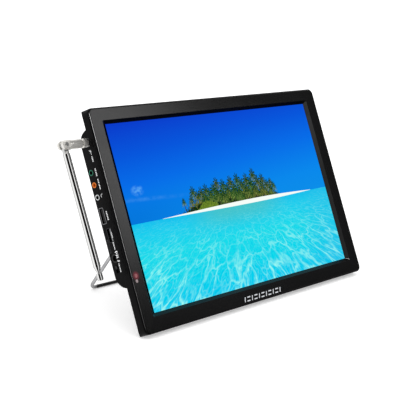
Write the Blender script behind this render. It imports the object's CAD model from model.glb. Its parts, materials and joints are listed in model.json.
import json
import math

import bmesh
import bpy
from mathutils import Matrix, Vector


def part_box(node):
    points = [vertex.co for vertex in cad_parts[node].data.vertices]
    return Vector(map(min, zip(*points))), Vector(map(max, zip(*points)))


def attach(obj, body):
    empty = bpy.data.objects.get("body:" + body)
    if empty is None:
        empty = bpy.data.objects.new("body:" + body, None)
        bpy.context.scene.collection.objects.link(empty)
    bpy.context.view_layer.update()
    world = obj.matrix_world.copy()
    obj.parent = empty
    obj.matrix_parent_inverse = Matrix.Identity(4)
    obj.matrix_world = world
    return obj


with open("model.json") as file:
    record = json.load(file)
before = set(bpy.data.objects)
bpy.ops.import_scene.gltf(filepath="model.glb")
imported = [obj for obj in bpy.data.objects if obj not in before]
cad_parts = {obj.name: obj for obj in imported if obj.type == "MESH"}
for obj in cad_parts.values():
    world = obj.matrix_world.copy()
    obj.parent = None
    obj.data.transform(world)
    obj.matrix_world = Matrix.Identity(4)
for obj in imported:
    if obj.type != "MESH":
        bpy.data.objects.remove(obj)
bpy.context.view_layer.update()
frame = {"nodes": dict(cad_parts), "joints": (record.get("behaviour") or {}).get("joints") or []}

# A portable television that leans back on a wire stand. Pieces are placed in the case's own upright
# frame: x to the viewer's right, y from the picture towards the back, z up along the picture, all in
# millimetres from the middle of the picture.
MM = 0.001
RECORD_JOINTS = {joint["name"]: joint for joint in frame["joints"]}
BACK = Vector(RECORD_JOINTS["antenna_fold"]["axis"]).normalized()
RIGHT = Vector((1.0, 0.0, 0.0))
UP = RIGHT.cross(BACK)
PANEL_LOW, PANEL_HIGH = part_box("lcd_panel")
PANEL_THICKNESS = 1.3 * MM
# the middle of the picture, on the panel's front face
MIDDLE = (PANEL_LOW + PANEL_HIGH) / 2 - BACK * (PANEL_THICKNESS / 2)
TURN = Matrix((RIGHT, BACK, UP)).transposed().to_4x4()
PLACE = Matrix.Translation(MIDDLE) @ TURN @ Matrix.Scale(MM, 4)

# half the lit picture's size, the face that holds the sockets, the frame's front, and the depth of the
# round jacks' middles; then the place of the power lamp
PICTURE_HALF = (154.7, 87.0)
SIDE_X = -166.0
FRONT_Y = -3.2
JACK_Y = 21.0
LED_X, LED_Z = -168.8, -51.2


def at(x, y, z):
    """World place of a point given in the case's upright frame."""
    return PLACE @ Vector((x, y, z))


# ======== node helpers ========
# places of a colour mix node's sockets: its share, its two colours and its result
MIX_SHARE, MIX_A, MIX_B, MIX_COLOUR = 0, 6, 7, 2
# pointiness at which an edge starts to show and is full
EDGE_FROM, EDGE_FULL = 0.52, 0.6
# most of a noise lies between these
NOISE_LOW, NOISE_HIGH = 0.3, 0.7


class Tree:
    """Short calls for building a material's nodes."""

    def __init__(self, name):
        self.material = bpy.data.materials.new(name)
        self.material.use_nodes = True
        self.nodes = self.material.node_tree.nodes
        self.links = self.material.node_tree.links
        self.nodes.clear()
        self.output = self.add("ShaderNodeOutputMaterial")
        self.shader = self.add("ShaderNodeBsdfPrincipled")
        self.links.new(self.shader.outputs["BSDF"], self.output.inputs["Surface"])

    def add(self, kind, **settings):
        node = self.nodes.new(kind)
        for key, value in settings.items():
            setattr(node, key, value)
        return node

    def put(self, socket, value):
        """Links an output to a socket, or sets the socket to a value."""
        if isinstance(value, bpy.types.NodeSocket):
            self.links.new(value, socket)
        else:
            socket.default_value = value

    def math(self, operation, a, b=0.0, c=0.0, clamp=False):
        node = self.add("ShaderNodeMath", operation=operation, use_clamp=clamp)
        for socket, value in zip(node.inputs, (a, b, c)):
            self.put(socket, value)
        return node.outputs[0]

    def times(self, a, b):
        return self.math("MULTIPLY", a, b)

    def plus(self, a, b):
        return self.math("ADD", a, b)

    def minus(self, a, b):
        return self.math("SUBTRACT", a, b)

    def over(self, a, b):
        return self.math("DIVIDE", a, b)

    def power(self, a, b):
        return self.math("POWER", a, b)

    def absolute(self, a):
        return self.math("ABSOLUTE", a)

    def below(self, a, b):
        """1 where a is less than b, and 0 elsewhere."""
        return self.math("LESS_THAN", a, b)

    def above(self, a, b):
        """1 where a is greater than b, and 0 elsewhere."""
        return self.math("GREATER_THAN", a, b)

    def vector(self, operation, a, b=(0.0, 0.0, 0.0), scale=1.0):
        node = self.add("ShaderNodeVectorMath", operation=operation)
        self.put(node.inputs[0], a)
        self.put(node.inputs[1], b)
        self.put(node.inputs[3], scale)
        gives_number = operation in ("DOT_PRODUCT", "LENGTH", "DISTANCE")
        return node.outputs["Value"] if gives_number else node.outputs[0]

    def shaded(self, colour, shade):
        """The colour made darker or lighter by a factor."""
        return self.vector("SCALE", colour[:3], scale=shade)

    def join(self, x, y, z=0.0):
        node = self.add("ShaderNodeCombineXYZ")
        for socket, value in zip(node.inputs, (x, y, z)):
            self.put(socket, value)
        return node.outputs[0]

    def span(self, value, low, high, to_low=0.0, to_high=1.0, smooth=False):
        """Maps low..high to to_low..to_high, held at both ends."""
        node = self.add("ShaderNodeMapRange")
        node.interpolation_type = "SMOOTHSTEP" if smooth else "LINEAR"
        for socket, setting in zip(node.inputs, (value, low, high, to_low, to_high)):
            self.put(socket, setting)
        return node.outputs[0]

    def spread(self, noise, to_low, to_high):
        """Spreads a noise over to_low..to_high."""
        return self.span(noise, NOISE_LOW, NOISE_HIGH, to_low, to_high)

    def noise(self, place, scale, detail=3.0, roughness=0.5, distortion=0.0):
        node = self.add("ShaderNodeTexNoise")
        self.put(node.inputs["Vector"], place)
        self.put(node.inputs["Scale"], scale)
        self.put(node.inputs["Detail"], detail)
        self.put(node.inputs["Roughness"], roughness)
        self.put(node.inputs["Distortion"], distortion)
        return node.outputs[0]

    def mix(self, share, a, b):
        """Colour a where share is 0 and b where it is 1."""
        node = self.add("ShaderNodeMix", data_type="RGBA")
        self.put(node.inputs[MIX_SHARE], share)
        self.put(node.inputs[MIX_A], a)
        self.put(node.inputs[MIX_B], b)
        return node.outputs[MIX_COLOUR]

    def ramp(self, value, stops):
        """Colour ramp through (position, colour) stops."""
        node = self.add("ShaderNodeValToRGB")
        elements = node.color_ramp.elements
        while len(elements) < len(stops):
            elements.new(0.5)
        for element, (position, colour) in zip(elements, stops):
            element.position = position
            element.color = colour
        self.put(node.inputs[0], value)
        return node.outputs[0]

    def bump(self, height, strength, distance):
        node = self.add("ShaderNodeBump")
        self.put(node.inputs["Height"], height)
        node.inputs["Strength"].default_value = strength
        node.inputs["Distance"].default_value = distance
        self.put(self.shader.inputs["Normal"], node.outputs[0])

    def place(self):
        """The rest-frame place on the object, in metres."""
        return self.add("ShaderNodeTexCoord").outputs["Object"]

    def edge(self):
        """1 on convex edges and 0 on flats."""
        pointiness = self.add("ShaderNodeNewGeometry").outputs["Pointiness"]
        return self.span(pointiness, EDGE_FROM, EDGE_FULL, smooth=True)

    def set(self, **values):
        names = {
            "colour": "Base Color",
            "metal": "Metallic",
            "rough": "Roughness",
            "specular": "Specular IOR Level",
            "glow": "Emission Color",
            "glow_strength": "Emission Strength",
            "through": "Transmission Weight",
            "ior": "IOR",
        }
        for key, value in values.items():
            self.put(self.shader.inputs[names[key]], value)


def srgb(red, green, blue):
    """A display colour, each channel 0 to 255, as linear light."""
    channels = []
    for value in (red, green, blue):
        share = value / 255
        channels.append(share / 12.92 if share <= 0.04045 else ((share + 0.055) / 1.055) ** 2.4)
    return (*channels, 1.0)


# ======== materials ========
# the crossbar's dipped coat reaches this high above the table and this far from the set's middle
SLEEVE_TOP = 7.0 * MM
SLEEVE_HALF = 101.0 * MM
SLEEVE_EDGE = 0.4 * MM


def plastic(name, colour, rough, grain=0.00035, grain_depth=0.00002, worn=0.3, specular=0.4, halo=None):
    """Moulded plastic: fine grain, faint flow mottle and polished edges.

    halo is the glow round a lamp: its centre, its reach and its colour.
    """
    tree = Tree(name)
    place = tree.place()
    fine = tree.noise(place, 1 / grain, 2.0, 0.6)
    broad = tree.noise(place, 38.0, 4.0, 0.55)
    shade = tree.spread(broad, 0.82, 1.16)
    tinted = tree.shaded(colour, shade)
    lighter = tuple(min(1.0, c * 1.9 + 0.006) for c in colour[:3]) + (1.0,)
    base = tree.mix(tree.times(tree.edge(), worn), tinted, lighter)
    smears = tree.noise(place, 14.0, 5.0, 0.65, 0.6)
    smeared = tree.spread(smears, rough - 0.02, rough + 0.03)
    roughness = tree.plus(smeared, tree.times(fine, 0.04))
    tree.set(colour=base, rough=roughness, specular=specular)
    if halo:
        centre, reach, light = halo
        distance = tree.vector("DISTANCE", place, tuple(centre))
        near = tree.span(distance, reach, 0.3 * reach, smooth=True)
        tree.set(glow=tree.shaded(light, near), glow_strength=1.0)
    tree.bump(fine, 0.5, grain_depth)
    return tree.material


def chrome(name, colour=(0.97, 0.97, 0.96, 1.0), rough=0.02, metal=1.0):
    """Polished plating with faint hairlines along the tube and a slight film."""
    tree = Tree(name)
    place = tree.place()
    hairline_scale = (9000.0, 9000.0, 240.0)
    along = tree.vector("MULTIPLY", place, hairline_scale)
    hair = tree.noise(along, 1.0, 2.0, 0.5)
    film = tree.noise(place, 60.0, 4.0, 0.6)
    filmed = tree.span(film, 0.35, 0.7, rough, rough + 0.04)
    roughness = tree.plus(filmed, tree.times(hair, 0.02))
    shade = tree.span(film, 0.3, 0.75, 1.0, 0.94)
    tree.set(colour=tree.shaded(colour, shade), metal=metal, rough=roughness)
    tree.bump(hair, 0.15, 0.000004)
    return tree.material


def wire_steel(name):
    """Drawn and nickel-flashed wire with dull die lines, and a dipped black coat on the crossbar."""
    tree = Tree(name)
    place = tree.place()
    die_line_scale = (900.0, 5200.0, 5200.0)
    lines = tree.noise(tree.vector("MULTIPLY", place, die_line_scale), 1.0, 3.0, 0.6)
    blotch = tree.noise(place, 90.0, 4.0, 0.6)
    bright, dull, coat = (0.62, 0.62, 0.63, 1.0), (0.46, 0.46, 0.47, 1.0), (0.012, 0.012, 0.012, 1.0)
    colour = tree.mix(tree.span(blotch, 0.35, 0.7), bright, dull)
    split = tree.add("ShaderNodeSeparateXYZ")
    tree.put(split.inputs[0], place)
    dipped = tree.span(split.outputs["Z"], SLEEVE_TOP, SLEEVE_TOP - SLEEVE_EDGE)
    off_middle = tree.absolute(tree.minus(split.outputs["X"], at(0, 0, 0).x))
    dipped = tree.times(dipped, tree.span(off_middle, SLEEVE_HALF, SLEEVE_HALF - SLEEVE_EDGE))
    colour = tree.mix(dipped, colour, coat)
    tree.set(colour=colour, metal=tree.minus(1.0, dipped), rough=tree.spread(lines, 0.24, 0.42))
    tree.bump(lines, 0.25, 0.00001)
    return tree.material


def plate_metal(name, colour, rough):
    """Pressed and plated sheet, with brushed lines across it."""
    tree = Tree(name)
    place = tree.place()
    brush_scale = (220.0, 6000.0, 6000.0)
    lines = tree.noise(tree.vector("MULTIPLY", place, brush_scale), 1.0, 2.0, 0.55)
    stain = tree.noise(place, 30.0, 4.0, 0.6)
    tree.set(
        colour=tree.shaded(colour, tree.spread(stain, 0.85, 1.1)),
        metal=1.0,
        rough=tree.span(lines, 0.25, 0.75, rough - 0.07, rough + 0.1),
    )
    tree.bump(lines, 0.2, 0.000008)
    return tree.material


def print_ink(name, colour):
    """Screen-printed ink: nearly even, with a soft speckle."""
    tree = Tree(name)
    speckle = tree.noise(tree.place(), 5000.0, 2.0, 0.6)
    tree.set(colour=tree.shaded(colour, tree.spread(speckle, 0.86, 1.06)), rough=0.55)
    tree.bump(speckle, 0.2, 0.000006)
    return tree.material


def ring_plastic(name, colour, centre, inner, outer):
    """Black moulding round a jack, with a coloured ring between two radii."""
    tree = Tree(name)
    place = tree.place()
    off_centre = tree.vector("SUBTRACT", place, tuple(centre))
    radius = tree.vector("LENGTH", tree.vector("MULTIPLY", off_centre, (0.0, 1.0, 1.0)))
    ring = tree.times(tree.above(radius, inner), tree.below(radius, outer))
    mottle = tree.noise(place, 700.0, 3.0, 0.6)
    colour = tree.shaded(colour, tree.spread(mottle, 0.88, 1.08))
    tree.set(colour=tree.mix(ring, (0.006, 0.006, 0.006, 1.0), colour), rough=0.38, specular=0.2)
    tree.bump(mottle, 0.2, 0.00001)
    return tree.material


def circuit(name, colour):
    """Solder mask over copper tracks, which show as slightly raised lighter lines."""
    tree = Tree(name)
    place = tree.place()
    cells = tree.add("ShaderNodeTexVoronoi", feature="DISTANCE_TO_EDGE", distance="MANHATTAN")
    tree.put(cells.inputs["Vector"], place)
    cells.inputs["Scale"].default_value = 240.0
    track = tree.span(cells.outputs["Distance"], 0.08, 0.12, 1.0, 0.0)
    lighter = tuple(min(1.0, c * 2.2 + 0.01) for c in colour[:3]) + (1.0,)
    tree.set(colour=tree.mix(track, colour, lighter), rough=0.35)
    tree.bump(track, 0.4, 0.00003)
    return tree.material


def clear_plastic(name, colour, rough, glow=None, strength=0.0):
    """Clear or tinted moulding with faint waviness, lit from inside where it glows."""
    tree = Tree(name)
    wave = tree.noise(tree.place(), 900.0, 2.0, 0.5)
    tree.set(colour=colour, rough=tree.spread(wave, rough, rough + 0.08), through=0.6, ior=1.49)
    if glow:
        tree.set(glow=glow, glow_strength=strength)
    tree.bump(wave, 0.1, 0.00001)
    return tree.material


def soft_film(name, colour, rough=0.6, weave=1600.0):
    """Film, paper or foil: fine fibre or crease pattern and a gentle mottle."""
    tree = Tree(name)
    place = tree.place()
    fibre = tree.noise(place, weave, 4.0, 0.7, 0.4)
    tree.set(colour=tree.shaded(colour, tree.span(fibre, 0.25, 0.75, 0.8, 1.15)), rough=rough)
    tree.bump(fibre, 0.35, 0.00002)
    return tree.material


# ======== the lit picture: a made-up island scene, drawn by formula ========
# millimetres on the picture, from its middle
HORIZON = -6.6
# a frond's droop, half the number of fronds round a crown, and the share of a crown that is solid
FROND_DROOP = 1.25
FROND_WAVES = 8.5
CROWN_HEART = 0.16
TRUNK_HALF, TRUNK_FOOT = 0.42, -3.5
# the low bush and the thicket under the palms: middle, half width, and the bush's fall over its half
# width or the thicket's height
BUSH_MIDDLE, BUSH_HALF, BUSH_FALL = -44.0, 15.0, 6.0
HILL_MIDDLE, HILL_HALF, HILL_HEIGHT = -4.0, 67.0, 9.0
# the strip of sand: middle, half width, and how far it goes above and below the horizon
SAND_MIDDLE, SAND_HALF, SAND_RISE, SAND_DROP = 7.0, 119.0, 3.0, 1.7
# the small cloud: across, height and half its size both ways; then the height of the wisp
CLOUD_X, CLOUD_Z, CLOUD_HALF_X, CLOUD_HALF_Z = -136.0, 23.0, 10.0, 6.0
WISP_Z, WISP_HALF = 8.0, 3.0
# webs of light on the water, from broad to fine: scale, line width and strength
WEBS = ((1.9, 0.1, 0.85), (4.0, 0.11, 0.38), (9.0, 0.14, 0.16))
PALMS = [
    # across, crown height, crown size: each palm of the grove, in millimetres on the picture
    (-78.0, 5.5, 4.0), (-66.5, 5.0, 6.0), (-62.0, 12.5, 7.0), (-56.0, 7.5, 7.0), (-50.0, 10.5, 7.0),
    (-46.0, 4.0, 7.5), (-42.5, 12.0, 7.5), (-37.0, 7.5, 8.0), (-31.0, 11.5, 7.5), (-26.0, 7.5, 8.5),
    (-24.7, 17.0, 7.0), (-18.0, 5.0, 8.5), (-15.4, 14.0, 7.5), (-9.0, 9.0, 8.5), (-3.2, 16.0, 7.5),
    (0.0, 8.0, 8.5), (6.0, 5.0, 8.5), (8.0, 17.0, 8.0), (14.0, 11.0, 8.5), (20.0, 5.5, 8.5),
    (22.4, 15.5, 8.0), (28.0, 10.5, 8.5), (33.0, 5.5, 8.0), (34.6, 19.5, 8.0), (40.0, 12.0, 8.0),
    (46.0, 5.0, 8.0), (47.8, 13.0, 7.5), (54.0, 7.0, 7.0), (59.0, 2.5, 6.0), (60.5, 9.5, 5.0),
    (64.5, 5.5, 5.0),
]


class Group(Tree):
    """The same short calls, inside a node group of its own."""

    def __init__(self, name):
        self.group = bpy.data.node_groups.new(name, "ShaderNodeTree")
        self.nodes = self.group.nodes
        self.links = self.group.links


def frond_group():
    """Node group: mask and light of one palm crown round a centre, with drooping fronds."""
    tree = Group("palm_crown")
    for name in ("X", "Y", "Size", "Turn"):
        tree.group.interface.new_socket(name, in_out="INPUT", socket_type="NodeSocketFloat")
    for name in ("Mask", "Light"):
        tree.group.interface.new_socket(name, in_out="OUTPUT", socket_type="NodeSocketFloat")
    source = tree.add("NodeGroupInput")
    target = tree.add("NodeGroupOutput")
    x = tree.over(source.outputs["X"], source.outputs["Size"])
    y = tree.over(source.outputs["Y"], source.outputs["Size"])
    y = tree.plus(y, tree.times(tree.times(x, x), FROND_DROOP))
    radius = tree.math("SQRT", tree.plus(tree.times(x, x), tree.times(y, y)))
    angle = tree.math("ARCTAN2", y, x)
    wave = tree.math("SINE", tree.plus(tree.times(angle, FROND_WAVES), source.outputs["Turn"]))
    lobe = tree.absolute(wave)
    reach = tree.plus(tree.times(lobe, 1.0 - CROWN_HEART), CROWN_HEART)
    mask = tree.above(reach, radius)
    # lit along the middle of each frond, and more so low in the crown
    light = tree.times(tree.power(lobe, 1.6), tree.plus(tree.times(y, -0.3), 0.58))
    tree.put(target.inputs["Mask"], mask)
    tree.put(target.inputs["Light"], light)
    return tree.group


def sky_colour(tree, across, height, place):
    """Deep blue overhead, brighter low and to the right, with a small cloud and a wisp at the left."""
    tilt = tree.math("MULTIPLY_ADD", across, -0.075, height)
    colour = tree.ramp(
        tree.span(tilt, -20.0, 100.0),
        [
            (0.0, srgb(8, 142, 232)),
            (0.2, srgb(6, 136, 236)),
            (0.5, srgb(4, 108, 232)),
            (0.72, srgb(4, 86, 220)),
            (1.0, srgb(8, 56, 202)),
        ],
    )
    low = tree.span(height, 30.0, -6.0, smooth=True)
    low_left = tree.times(tree.span(across, -155.0, 20.0, 0.75, 0.0), low)
    colour = tree.mix(low_left, colour, srgb(0, 112, 214))
    puff = tree.noise(tree.vector("MULTIPLY", place, (0.8, 0.0, 1.4)), 0.2, 6.0, 0.65)
    dx = tree.over(tree.plus(across, -CLOUD_X), CLOUD_HALF_X)
    dy = tree.over(tree.plus(height, -CLOUD_Z), CLOUD_HALF_Z)
    near = tree.plus(tree.times(dx, dx), tree.times(dy, dy))
    cloud = tree.times(tree.span(near, 1.0, 0.0, smooth=True), tree.span(puff, 0.4, 0.62, 0.0, 0.85))
    wisp_y = tree.over(tree.math("MULTIPLY_ADD", across, 0.05, tree.plus(height, -WISP_Z)), WISP_HALF)
    wisp = tree.span(tree.absolute(wisp_y), 1.0, 0.0, smooth=True)
    wisp = tree.times(wisp, tree.span(across, -60.0, -130.0))
    cloud = tree.math("MAXIMUM", cloud, tree.times(wisp, tree.span(puff, 0.35, 0.7, 0.0, 0.3)))
    return tree.mix(cloud, colour, srgb(96, 176, 248))


def sea_colour(tree, across, height):
    """Shallow water over sand: bright webs of light that grow towards the viewer."""
    depth = tree.math("MAXIMUM", tree.minus(HORIZON, height), 0.6)
    far = tree.over(105.0, tree.plus(depth, 13.0))
    ground = tree.join(tree.times(tree.over(across, tree.plus(depth, 26.0)), 2.2), far, 0.0)
    wobble = tree.add("ShaderNodeTexNoise")
    tree.put(wobble.inputs["Vector"], ground)
    wobble.inputs["Scale"].default_value = 1.7
    wobble.inputs["Detail"].default_value = 3.0
    shift = tree.vector("SCALE", wobble.outputs["Color"], scale=0.85)
    bent = tree.vector("ADD", ground, shift)
    light = None
    for scale, width, strength in WEBS:
        web = tree.add("ShaderNodeTexVoronoi", feature="DISTANCE_TO_EDGE")
        tree.put(web.inputs["Vector"], bent)
        web.inputs["Scale"].default_value = scale
        line = tree.span(web.outputs["Distance"], width, 0.0, smooth=True)
        line = tree.times(tree.power(line, 1.6), strength)
        light = line if light is None else tree.plus(light, line)
    patch = tree.noise(tree.join(tree.times(across, 0.02), tree.times(height, 0.05)), 1.0, 4.0, 0.6)
    strength = tree.times(tree.span(depth, 2.0, 85.0, 0.1, 1.0), tree.span(patch, 0.38, 0.62, 0.35, 1.0))
    colour = tree.ramp(
        tree.span(depth, 0.0, 80.0),
        [
            (0.0, srgb(6, 192, 238)),
            (0.12, srgb(18, 208, 238)),
            (0.4, srgb(20, 222, 234)),
            (0.7, srgb(2, 218, 236)),
            (1.0, srgb(0, 206, 240)),
        ],
    )
    mid = tree.span(tree.absolute(across), 95.0, 20.0, smooth=True)
    shallow = tree.times(mid, tree.span(depth, 26.0, 2.0, smooth=True))
    colour = tree.mix(shallow, colour, srgb(70, 196, 198))
    right = tree.span(across, 70.0, 155.0, 0.0, 0.6, smooth=True)
    colour = tree.mix(right, colour, srgb(26, 190, 232))
    ripple = tree.noise(tree.vector("MULTIPLY", ground, (9.0, 22.0, 1.0)), 1.0, 4.0, 0.65)
    colour = tree.mix(tree.span(ripple, 0.55, 0.32, 0.0, 0.5), colour, srgb(0, 180, 230))
    return tree.mix(tree.math("MULTIPLY", light, strength, clamp=True), colour, srgb(166, 254, 244))


def grove(tree, across, height, colour):
    """Palms and low bushes on the sand, painted over the sky from back to front."""
    crown = frond_group()
    grain = tree.noise(tree.join(across, height), 0.55, 4.0, 0.75)
    off_hill = tree.over(tree.absolute(tree.plus(across, -HILL_MIDDLE)), HILL_HALF)
    hill = tree.minus(1.0, tree.power(off_hill, 3.0))
    thicket = tree.math("MULTIPLY_ADD", hill, HILL_HEIGHT, tree.spread(grain, -6.0, 4.0))
    thicket = tree.above(thicket, height)
    dark_stops = [(0.0, srgb(4, 14, 8)), (0.5, srgb(14, 46, 16)), (1.0, srgb(66, 98, 34))]
    colour = tree.mix(thicket, colour, tree.ramp(tree.span(grain, 0.3, 0.72), dark_stops))
    for index, (x, y, size) in enumerate(sorted(PALMS, key=lambda palm: -palm[1])):
        dx = tree.plus(across, -x)
        dy = tree.plus(height, -y)
        lean = tree.math("MULTIPLY_ADD", dy, 0.12 * math.sin(3.0 * index), dx)
        trunk = tree.times(tree.below(tree.absolute(lean), TRUNK_HALF), tree.below(dy, 0.0))
        trunk = tree.times(trunk, tree.above(height, TRUNK_FOOT))
        colour = tree.mix(trunk, colour, srgb(58, 52, 40))
        node = tree.add("ShaderNodeGroup")
        node.node_tree = crown
        for name, value in (("X", dx), ("Y", dy), ("Size", size), ("Turn", 1.7 * index)):
            tree.put(node.inputs[name], value)
        warm = 0.5 + 0.5 * math.sin(2.3 * index)
        leaf = tree.ramp(
            tree.times(node.outputs["Light"], tree.spread(grain, 0.3, 2.1)),
            [
                (0.0, srgb(2, 12, 10)),
                (0.28, srgb(8, 46, 24)),
                (0.55, srgb(24 + 18 * warm, 86, 32)),
                (0.9, srgb(118 + 34 * warm, 152, 70)),
            ],
        )
        colour = tree.mix(node.outputs["Mask"], colour, leaf)
    bush_x = tree.over(tree.plus(across, -BUSH_MIDDLE), BUSH_HALF)
    bush_fall = tree.times(bush_x, bush_x)
    bush_top = tree.math("MULTIPLY_ADD", bush_fall, -BUSH_FALL, tree.spread(grain, 0.0, 4.0))
    bush = tree.above(bush_top, height)
    green = tree.ramp(grain, [(0.3, srgb(52, 84, 24)), (0.7, srgb(132, 158, 48))])
    return tree.mix(bush, colour, green)


def picture_material():
    """The panel's face: the lit picture inside a black border, under a satin polariser."""
    tree = Tree("lit_picture")
    offset = tree.vector("SUBTRACT", tree.place(), tuple(MIDDLE))
    scaled = tree.vector("SCALE", offset, scale=1 / MM)
    across = tree.vector("DOT_PRODUCT", scaled, tuple(RIGHT))
    height = tree.vector("DOT_PRODUCT", scaled, tuple(UP))
    colour = sky_colour(tree, across, height, scaled)
    colour = grove(tree, across, height, colour)
    sea = tree.below(height, HORIZON)
    colour = tree.mix(sea, colour, sea_colour(tree, across, height))
    reach = tree.over(tree.absolute(tree.plus(across, -SAND_MIDDLE)), SAND_HALF)
    hump = tree.minus(1.0, tree.power(reach, 2.0))
    thick = tree.span(across, -112.0, 60.0, 0.55, 1.0)
    sand_top = tree.math("MULTIPLY_ADD", tree.times(hump, thick), SAND_RISE, HORIZON + 0.2)
    sand_low = tree.math("MULTIPLY_ADD", tree.times(hump, thick), -SAND_DROP, HORIZON)
    inside = tree.times(tree.below(height, sand_top), tree.above(height, sand_low))
    colour = tree.mix(tree.times(inside, tree.above(hump, 0.0)), colour, srgb(246, 253, 248))
    half_w, half_h = PICTURE_HALF
    lit_across = tree.below(tree.absolute(across), half_w)
    lit = tree.times(lit_across, tree.below(tree.absolute(height), half_h))
    film = tree.noise(tree.place(), 2200.0, 2.0, 0.5)
    tree.set(colour=(0.0004, 0.0004, 0.0005, 1.0), rough=tree.spread(film, 0.36, 0.44), specular=0.01)
    tree.set(glow=tree.mix(lit, (0.0, 0.0, 0.0, 1.0), colour), glow_strength=1.0)
    return tree.material


# ======== materials on the carried-over parts ========
CREASE_DEGREES = 32


def paint(material, *names):
    for name in names:
        slots = frame["nodes"][name].data.materials
        slots.clear()
        slots.append(material)


def smooth(name):
    """Smooth shading on round faces, with creases kept."""
    mesh = frame["nodes"][name].data
    mesh.set_sharp_from_angle(angle=math.radians(CREASE_DEGREES))
    for polygon in mesh.polygons:
        polygon.use_smooth = True


KEY_NODES = [name for name in frame["nodes"] if name.startswith("key_") and name != "key_board"]
ANTENNA_NODES = [name for name in frame["nodes"] if name.startswith("antenna_") and name != "antenna_socket"]
paint(
    plastic(
        "bezel_satin_black", (0.0011, 0.0011, 0.0013, 1.0), 0.2, 0.0002, 0.000003, worn=0.2, specular=0.09,
        halo=(at(LED_X, FRONT_Y, LED_Z), 5.0 * MM, srgb(104, 26, 40)),
    ),
    "front_bezel",
)
paint(
    plastic("cover_moulded_black", (0.0035, 0.0035, 0.0038, 1.0), 0.45, 0.0005, 0.00004, specular=0.07),
    "rear_cover", "stand_clip_left", "stand_clip_right",
)
paint(
    plastic("key_black", (0.016, 0.016, 0.017, 1.0), 0.38, grain=0.0003, grain_depth=0.00001),
    *KEY_NODES, "power_switch_slider",
)
# each round jack's height, its ring's colour and the ring's two radii
for node_name, z, colour, inner, outer in (
    ("av_out_jack", 48.4, srgb(44, 124, 98), 1.9, 2.6),
    ("av_in_jack", 37.0, srgb(232, 128, 44), 1.4, 2.5),
    ("headphone_jack", 25.6, srgb(225, 228, 228), 1.85, 2.5),
):
    paint(ring_plastic(node_name + "_ring", colour, at(SIDE_X, JACK_Y, z), inner * MM, outer * MM), node_name)
paint(
    plastic("socket_black", (0.01, 0.01, 0.01, 1.0), 0.42),
    "dc_jack", "video_tongue", "power_switch_body", "processor_chip",
)
paint(plastic("socket_white", srgb(120, 122, 122), 0.5), "usb_tongue")
paint(picture_material(), "lcd_panel")
paint(print_ink("mark_ink", srgb(206, 208, 212)), "front_mark")
paint(clear_plastic("lamp_red", srgb(150, 40, 44), 0.18, srgb(112, 98, 102), 0.62), "power_lamp")
paint(clear_plastic("window_clear", srgb(130, 122, 122), 0.2, srgb(128, 114, 116), 0.75), "infrared_window")
paint(chrome("antenna_chrome"), *ANTENNA_NODES)
paint(
    chrome("barrel_satin_chrome", (0.97, 0.95, 0.9, 1.0), 0.14, metal=0.62),
    "antenna_barrel", "antenna_plug",
)
paint(wire_steel("stand_wire_steel"), "stand_bail")
paint(
    plate_metal("shaded_nickel", (0.1, 0.1, 0.105, 1.0), 0.4),
    "usb_socket", "card_socket", "antenna_socket",
)
paint(plate_metal("satin_nickel", (0.4, 0.4, 0.42, 1.0), 0.35), "video_socket")
paint(
    plate_metal("zinc_plate", (0.62, 0.63, 0.64, 1.0), 0.36),
    "panel_tray", "board_shield", "tuner_can", "tray_screws", "board_screws", "board_capacitors",
)
paint(plate_metal("black_oxide", (0.035, 0.035, 0.036, 1.0), 0.42), "cover_screws", "stand_clip_screws")
paint(circuit("circuit_green", (0.01, 0.075, 0.03, 1.0)), "main_board", "key_board", "indicator_board")
paint(soft_film("milky_film", (0.8, 0.8, 0.8, 1.0), 0.45), "optical_sheets", "backlight_strip")
paint(clear_plastic("guide_acrylic", (0.86, 0.9, 0.92, 1.0), 0.08), "light_guide")
paint(soft_film("cell_foil", (0.42, 0.43, 0.45, 1.0), 0.4, 260.0), "battery_pack")
paint(soft_film("amber_ribbon", (0.42, 0.16, 0.02, 1.0), 0.35, 800.0), "panel_flex")
paint(plate_metal("basket_black", (0.04, 0.04, 0.04, 1.0), 0.4), "speaker_frame_left", "speaker_frame_right")
paint(
    soft_film("cone_paper", (0.02, 0.02, 0.02, 1.0), 0.85, 1400.0),
    "speaker_cone_left", "speaker_cone_right",
)
paint(plate_metal("magnet_grey", (0.12, 0.12, 0.13, 1.0), 0.5), "speaker_magnet_left", "speaker_magnet_right")
for node_name in frame["nodes"]:
    smooth(node_name)


# ======== printed legends and contacts ========
PRINT_THICK = 0.05
LEGEND_Y = 15.0
# printed strokes: width of most, what some are wider or shorter by, and the gap between two
STROKE_WIDE, STROKE_STEP, STROKE_GAP = 0.85, 0.35, 0.42
ARC_STEPS = 18
# the keys' symbols: depth, height of the first, distance from one to the next, and the keys' outer face
KEY_Y, KEY_TOP, KEY_PITCH, KEY_FACE = 19.0, 50.0, 12.0, 167.0
# the gold strips: both ends across, and how thick they are
STRIP_ENDS = (-164.6, -157.0)
STRIP_THICK = 0.05
BOX_FACES = ((0, 1, 3, 2), (4, 6, 7, 5), (0, 4, 5, 1), (2, 3, 7, 6), (0, 2, 6, 4), (1, 5, 7, 3))


def bar(y, z, wide, tall, turn=0.0):
    """Outline of a small rectangle on the set's side, turned in degrees."""
    angle = math.radians(turn)
    corners = [(-wide / 2, -tall / 2), (wide / 2, -tall / 2), (wide / 2, tall / 2), (-wide / 2, tall / 2)]
    return [
        (y + a * math.cos(angle) - b * math.sin(angle), z + a * math.sin(angle) + b * math.cos(angle))
        for a, b in corners
    ]


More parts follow.
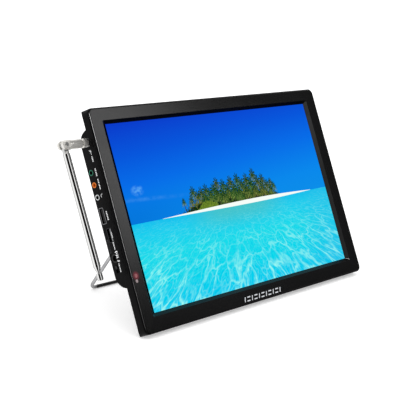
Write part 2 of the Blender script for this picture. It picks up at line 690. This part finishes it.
def arc(y, z, radius, wide, start=0.0, end=360.0):
    """Outlines of a curved stroke, cut into short straight ones."""
    outlines = []
    for i in range(ARC_STEPS):
        angles = [math.radians(start + (end - start) * k / ARC_STEPS) for k in (i, i + 1)]
        inner, outer = [
            [(y + reach * math.cos(a), z + reach * math.sin(a)) for a in angles]
            for reach in (radius - wide / 2, radius + wide / 2)
        ]
        outlines.append([inner[0], outer[0], outer[1], inner[1]])
    return outlines


def strokes(z, length, y=LEGEND_Y, tall=1.5):
    """A short run of plain upright strokes along the side, in the place of a printed word."""
    outlines = []
    low = z - length / 2
    while low < z + length / 2:
        index = len(outlines)
        wide = STROKE_WIDE + STROKE_STEP * (index % 3 == 1)
        outlines.append(bar(y, low + wide / 2, tall - STROKE_STEP * (index % 2), wide))
        low += wide + STROKE_GAP
    return outlines


def new_object(name, shape, material):
    """A linked object made from a bmesh, which is freed."""
    mesh = bpy.data.meshes.new(name)
    shape.to_mesh(mesh)
    shape.free()
    made = bpy.data.objects.new(name, mesh)
    bpy.context.scene.collection.objects.link(made)
    mesh.materials.append(material)
    return made


def flat_piece(name, outlines, face_x, material, body="case", thick=PRINT_THICK):
    """Thin raised shapes on a face across X; thick is negative to raise them towards the left."""
    shape = bmesh.new()
    for outline in outlines:
        low = [shape.verts.new(at(face_x, y, z)) for y, z in outline]
        high = [shape.verts.new(at(face_x + thick, y, z)) for y, z in outline]
        shape.faces.new(low)
        shape.faces.new(list(reversed(high)))
        for i in range(len(low)):
            j = (i + 1) % len(low)
            shape.faces.new((low[i], high[i], high[j], low[j]))
    bmesh.ops.recalc_face_normals(shape, faces=shape.faces)
    piece = new_object(name, shape, material)
    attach(piece, body)


def side_legends():
    """Plain symbols and stroke rows beside the sockets."""
    ink = print_ink("legend_ink", srgb(246, 247, 248))
    y = LEGEND_Y
    legends = {
        "print_antenna": [
            bar(y, 65.8, 0.55, 4.4), bar(y - 0.9, 67.2, 0.5, 2.6, 38), bar(y + 0.9, 67.2, 0.5, 2.6, -38),
        ],
        "print_antenna_word": strokes(60.0, 5.2),
        "print_av_out": strokes(50.0, 2.8) + strokes(45.6, 3.2),
        "print_av_in": strokes(39.4, 3.6) + strokes(34.2, 4.8),
        "print_headphone": arc(y, 26.0, 1.3, 0.45, -20, 200)
        + [bar(y - 1.2, 25.2, 0.6, 1.2), bar(y + 1.2, 25.2, 0.6, 1.2)],
        "print_video": strokes(9.4, 3.6) + strokes(5.0, 3.2),
        "print_usb": strokes(-10.2, 5.2, y=15.6, tall=1.2),
        "print_card": strokes(-20.2, 6.6, y=16.4, tall=1.3),
        "print_inlet": arc(y + 0.6, -27.6, 1.9, 1.1, 35, 325) + arc(y + 0.2, -32.6, 1.9, 1.1, 35, 325)
        + [bar(y + 0.6, -27.6, 1.2, 1.2), bar(y + 0.4, -30.2, 1.0, 1.4)],
        "print_switch": strokes(-40.6, 7.4, y=16.2, tall=1.2),
    }
    for name, outlines in legends.items():
        flat_piece(name, outlines, SIDE_X, ink, thick=-PRINT_THICK)


def key_legends():
    """A plain symbol on each key at the right side."""
    ink = print_ink("key_ink", srgb(214, 216, 218))
    y = KEY_Y
    symbols = {
        "power": lambda z: arc(y, z, 1.3, 0.35, 125, 415) + [bar(y, z + 1.2, 0.35, 1.5)],
        "source": lambda z: [
            bar(y, z - 1.2, 2.6, 0.3), bar(y, z + 1.2, 2.6, 0.3), bar(y - 1.15, z, 0.3, 2.1),
            bar(y + 0.3, z, 1.4, 0.35),
        ],
        "menu": lambda z: [bar(y, z + k, 2.6, 0.35) for k in (-1.0, 0.0, 1.0)],
        "channel_up": lambda z: [[(y - 1.2, z - 0.7), (y + 1.2, z - 0.7), (y, z + 1.2)]],
        "channel_down": lambda z: [[(y - 1.2, z + 0.7), (y + 1.2, z + 0.7), (y, z - 1.2)]],
        "volume_up": lambda z: [bar(y, z, 2.6, 0.4), bar(y, z + 0.75, 0.4, 1.1), bar(y, z - 0.75, 0.4, 1.1)],
        "volume_down": lambda z: [bar(y, z, 2.6, 0.4)],
    }
    for index, (name, symbol) in enumerate(symbols.items()):
        outlines = symbol(KEY_TOP - KEY_PITCH * index)
        flat_piece("symbol_" + name, outlines, KEY_FACE, ink, body="button_" + name)


def socket_contacts():
    """Gold strips on the two contact tongues."""
    gold = plate_metal("contact_gold", (0.83, 0.6, 0.22, 1.0), 0.25)
    for name, y, half, places, wide in (
        ("usb_contacts", 17.0, 0.93, (-13.7, -11.2, -9.2, -6.7), 1.0),
        ("video_contacts", 20.95, 0.57, [3.2 + 1.0 * i for i in range(11)], 0.5),
    ):
        shape = bmesh.new()
        for side in (-1, 1):
            ys = sorted((y + side * half, y + side * (half - STRIP_THICK)))
            for z in places:
                zs = (z - wide / 2, z + wide / 2)
                verts = [shape.verts.new(at(x, v, w)) for x in STRIP_ENDS for v in ys for w in zs]
                for face in BOX_FACES:
                    shape.faces.new([verts[i] for i in face])
        bmesh.ops.recalc_face_normals(shape, faces=shape.faces)
        piece = new_object(name, shape, gold)
        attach(piece, "case")


side_legends()
key_legends()
socket_contacts()


# ======== studio ========
CAMERA_LENS, CAMERA_SENSOR, CAMERA_NEAR = 108.2, 36.0, 0.01
CAMERA_PLACE = at(-928.7, -739.7, -68.0)
CAMERA_TARGET = at(-54.5, 0.0, 4.3)
CAMERA_ROLL = math.radians(4.79)
FLOOR_HALF = 6.0
FLOOR_GLOW = 0.4
FLAG_DARK = 0.99
ROOM_STRENGTH, WHITE_STRENGTH = 1.08, 1.12
# dark flags in the mirrored room, by heading in degrees: where each starts, is full, begins to end, ends
FRONT_FLAG = (8.0, 12.0, 43.0, 48.0)
SIDE_FLAG = (-84.0, -80.0, -15.0, -12.0)


class Studio(Tree):
    """The same short calls, on the world's own nodes."""

    def __init__(self, name):
        world = bpy.data.worlds.new(name)
        world.use_nodes = True
        world.cycles.sampling_method = "NONE"
        bpy.context.scene.world = world
        self.nodes = world.node_tree.nodes
        self.links = world.node_tree.links
        self.nodes.clear()


def look(origin, target, roll=0.0):
    """World matrix at origin that faces target, turned by roll about its line of sight."""
    facing = (target - origin).to_track_quat("-Z", "Y").to_matrix().to_4x4()
    return Matrix.Translation(origin) @ facing @ Matrix.Rotation(roll, 4, "Z")


def add_camera():
    data = bpy.data.cameras.new("camera")
    data.lens = CAMERA_LENS
    data.sensor_width = CAMERA_SENSOR
    data.clip_start = CAMERA_NEAR
    camera = bpy.data.objects.new("camera", data)
    bpy.context.scene.collection.objects.link(camera)
    camera.matrix_world = look(CAMERA_PLACE, CAMERA_TARGET, CAMERA_ROLL)
    bpy.context.scene.camera = camera


def add_light(name, origin, target, size, power, only):
    """A soft box that lights one node and nothing else, and only by reflection."""
    data = bpy.data.lights.new(name, "AREA")
    data.shape = "RECTANGLE"
    data.size, data.size_y = size
    data.energy = power
    light = bpy.data.objects.new(name, data)
    bpy.context.scene.collection.objects.link(light)
    light.matrix_world = look(origin, target)
    receivers = bpy.data.collections.new(name + "_receivers")
    receivers.objects.link(frame["nodes"][only])
    light.light_linking.receiver_collection = receivers
    light.visible_diffuse = False


def add_floor():
    """Pale table top that runs far past the set, and that reflections pass through."""
    tree = Tree("floor_pale")
    speck = tree.noise(tree.place(), 3.0, 3.0, 0.5)
    pale = tree.mix(tree.span(speck, 0.4, 0.6), (0.9, 0.9, 0.9, 1.0), (0.92, 0.92, 0.92, 1.0))
    tree.set(colour=pale, rough=0.9, specular=0.1, glow=(1.0, 1.0, 1.0, 1.0), glow_strength=FLOOR_GLOW)
    clear = tree.add("ShaderNodeMixShader")
    tree.put(clear.inputs[0], tree.add("ShaderNodeLightPath").outputs["Is Glossy Ray"])
    tree.put(clear.inputs[1], tree.shader.outputs[0])
    tree.put(clear.inputs[2], tree.add("ShaderNodeBsdfTransparent").outputs[0])
    tree.put(tree.output.inputs["Surface"], clear.outputs[0])
    shape = bmesh.new()
    bmesh.ops.create_grid(shape, x_segments=8, y_segments=8, size=FLOOR_HALF)
    floor = new_object("floor", shape, tree.material)


def flag(tree, turn, start, full, full_end, end):
    """1 between full and full_end of a heading in degrees, and 0 before start and after end."""
    return tree.times(
        tree.span(turn, start, full, smooth=True),
        tree.span(turn, end, full_end, smooth=True),
    )


def add_world():
    """White to the camera and to soft light; to reflections, a white room with dark flags and bands.

    turn is a direction's heading in degrees, 0 straight out of the picture and 90 towards RIGHT, and
    rise is how much of the direction lies along UP.
    """
    tree = Studio("studio")
    facing = tree.add("ShaderNodeTexCoord").outputs["Generated"]
    across = tree.vector("DOT_PRODUCT", facing, tuple(RIGHT))
    ahead = tree.vector("DOT_PRODUCT", facing, tuple(-BACK))
    turn = tree.math("DEGREES", tree.math("ARCTAN2", across, ahead))
    rise = tree.vector("DOT_PRODUCT", facing, tuple(UP))
    front_flag = flag(tree, turn, *FRONT_FLAG)
    side_flag = flag(tree, turn, *SIDE_FLAG)
    # at the right, a grey band at mid height and a darker one below it, with a light gap between them
    right = tree.span(turn, 43.0, 56.0)
    low_band = tree.times(tree.span(rise, -0.32, -0.42), tree.span(turn, 100.0, 90.0))
    shade = tree.times(tree.span(rise, 0.32, 0.2, 0.0, 0.84), tree.span(turn, 94.0, 84.0))
    shade = tree.times(shade, tree.span(rise, -0.24, -0.12))
    shade = tree.times(right, tree.math("MAXIMUM", shade, tree.times(low_band, 0.98)))
    # the room dims towards its back, on both sides
    left = tree.span(turn, -96.0, -150.0, 0.95, 0.6, smooth=True)
    far = tree.span(turn, 76.0, 100.0, 1.0, 0.6, smooth=True)
    grey = tree.times(tree.math("MULTIPLY_ADD", front_flag, -FLAG_DARK, 1.0), far)
    grey = tree.times(tree.minus(1.0, shade), grey)
    grey = tree.times(tree.math("MULTIPLY_ADD", side_flag, -FLAG_DARK, 1.0), grey)
    grey = tree.times(grey, left)
    room = tree.add("ShaderNodeBackground")
    tree.put(room.inputs["Color"], tree.join(grey, grey, grey))
    tree.put(room.inputs["Strength"], ROOM_STRENGTH)
    white = tree.add("ShaderNodeBackground")
    tree.put(white.inputs["Color"], (1.0, 1.0, 1.0, 1.0))
    tree.put(white.inputs["Strength"], WHITE_STRENGTH)
    mix = tree.add("ShaderNodeMixShader")
    tree.put(mix.inputs[0], tree.add("ShaderNodeLightPath").outputs["Is Glossy Ray"])
    tree.links.new(white.outputs[0], mix.inputs[1])
    tree.links.new(room.outputs[0], mix.inputs[2])
    tree.links.new(mix.outputs[0], tree.add("ShaderNodeOutputWorld").inputs["Surface"])


add_camera()
add_world()
add_floor()
# each soft box: where it stands, what it faces, its size in metres and its power in watts
add_light("sheen_box", at(530, -700, 252), at(-160, 0, 90), (0.2, 0.54), 2.95, only="front_bezel")
add_light("edge_strip", at(-337, -1490, 360), at(-175, 0, 45), (0.16, 0.66), 105.0, only="front_bezel")
bpy.context.scene.view_settings.view_transform = "Standard"
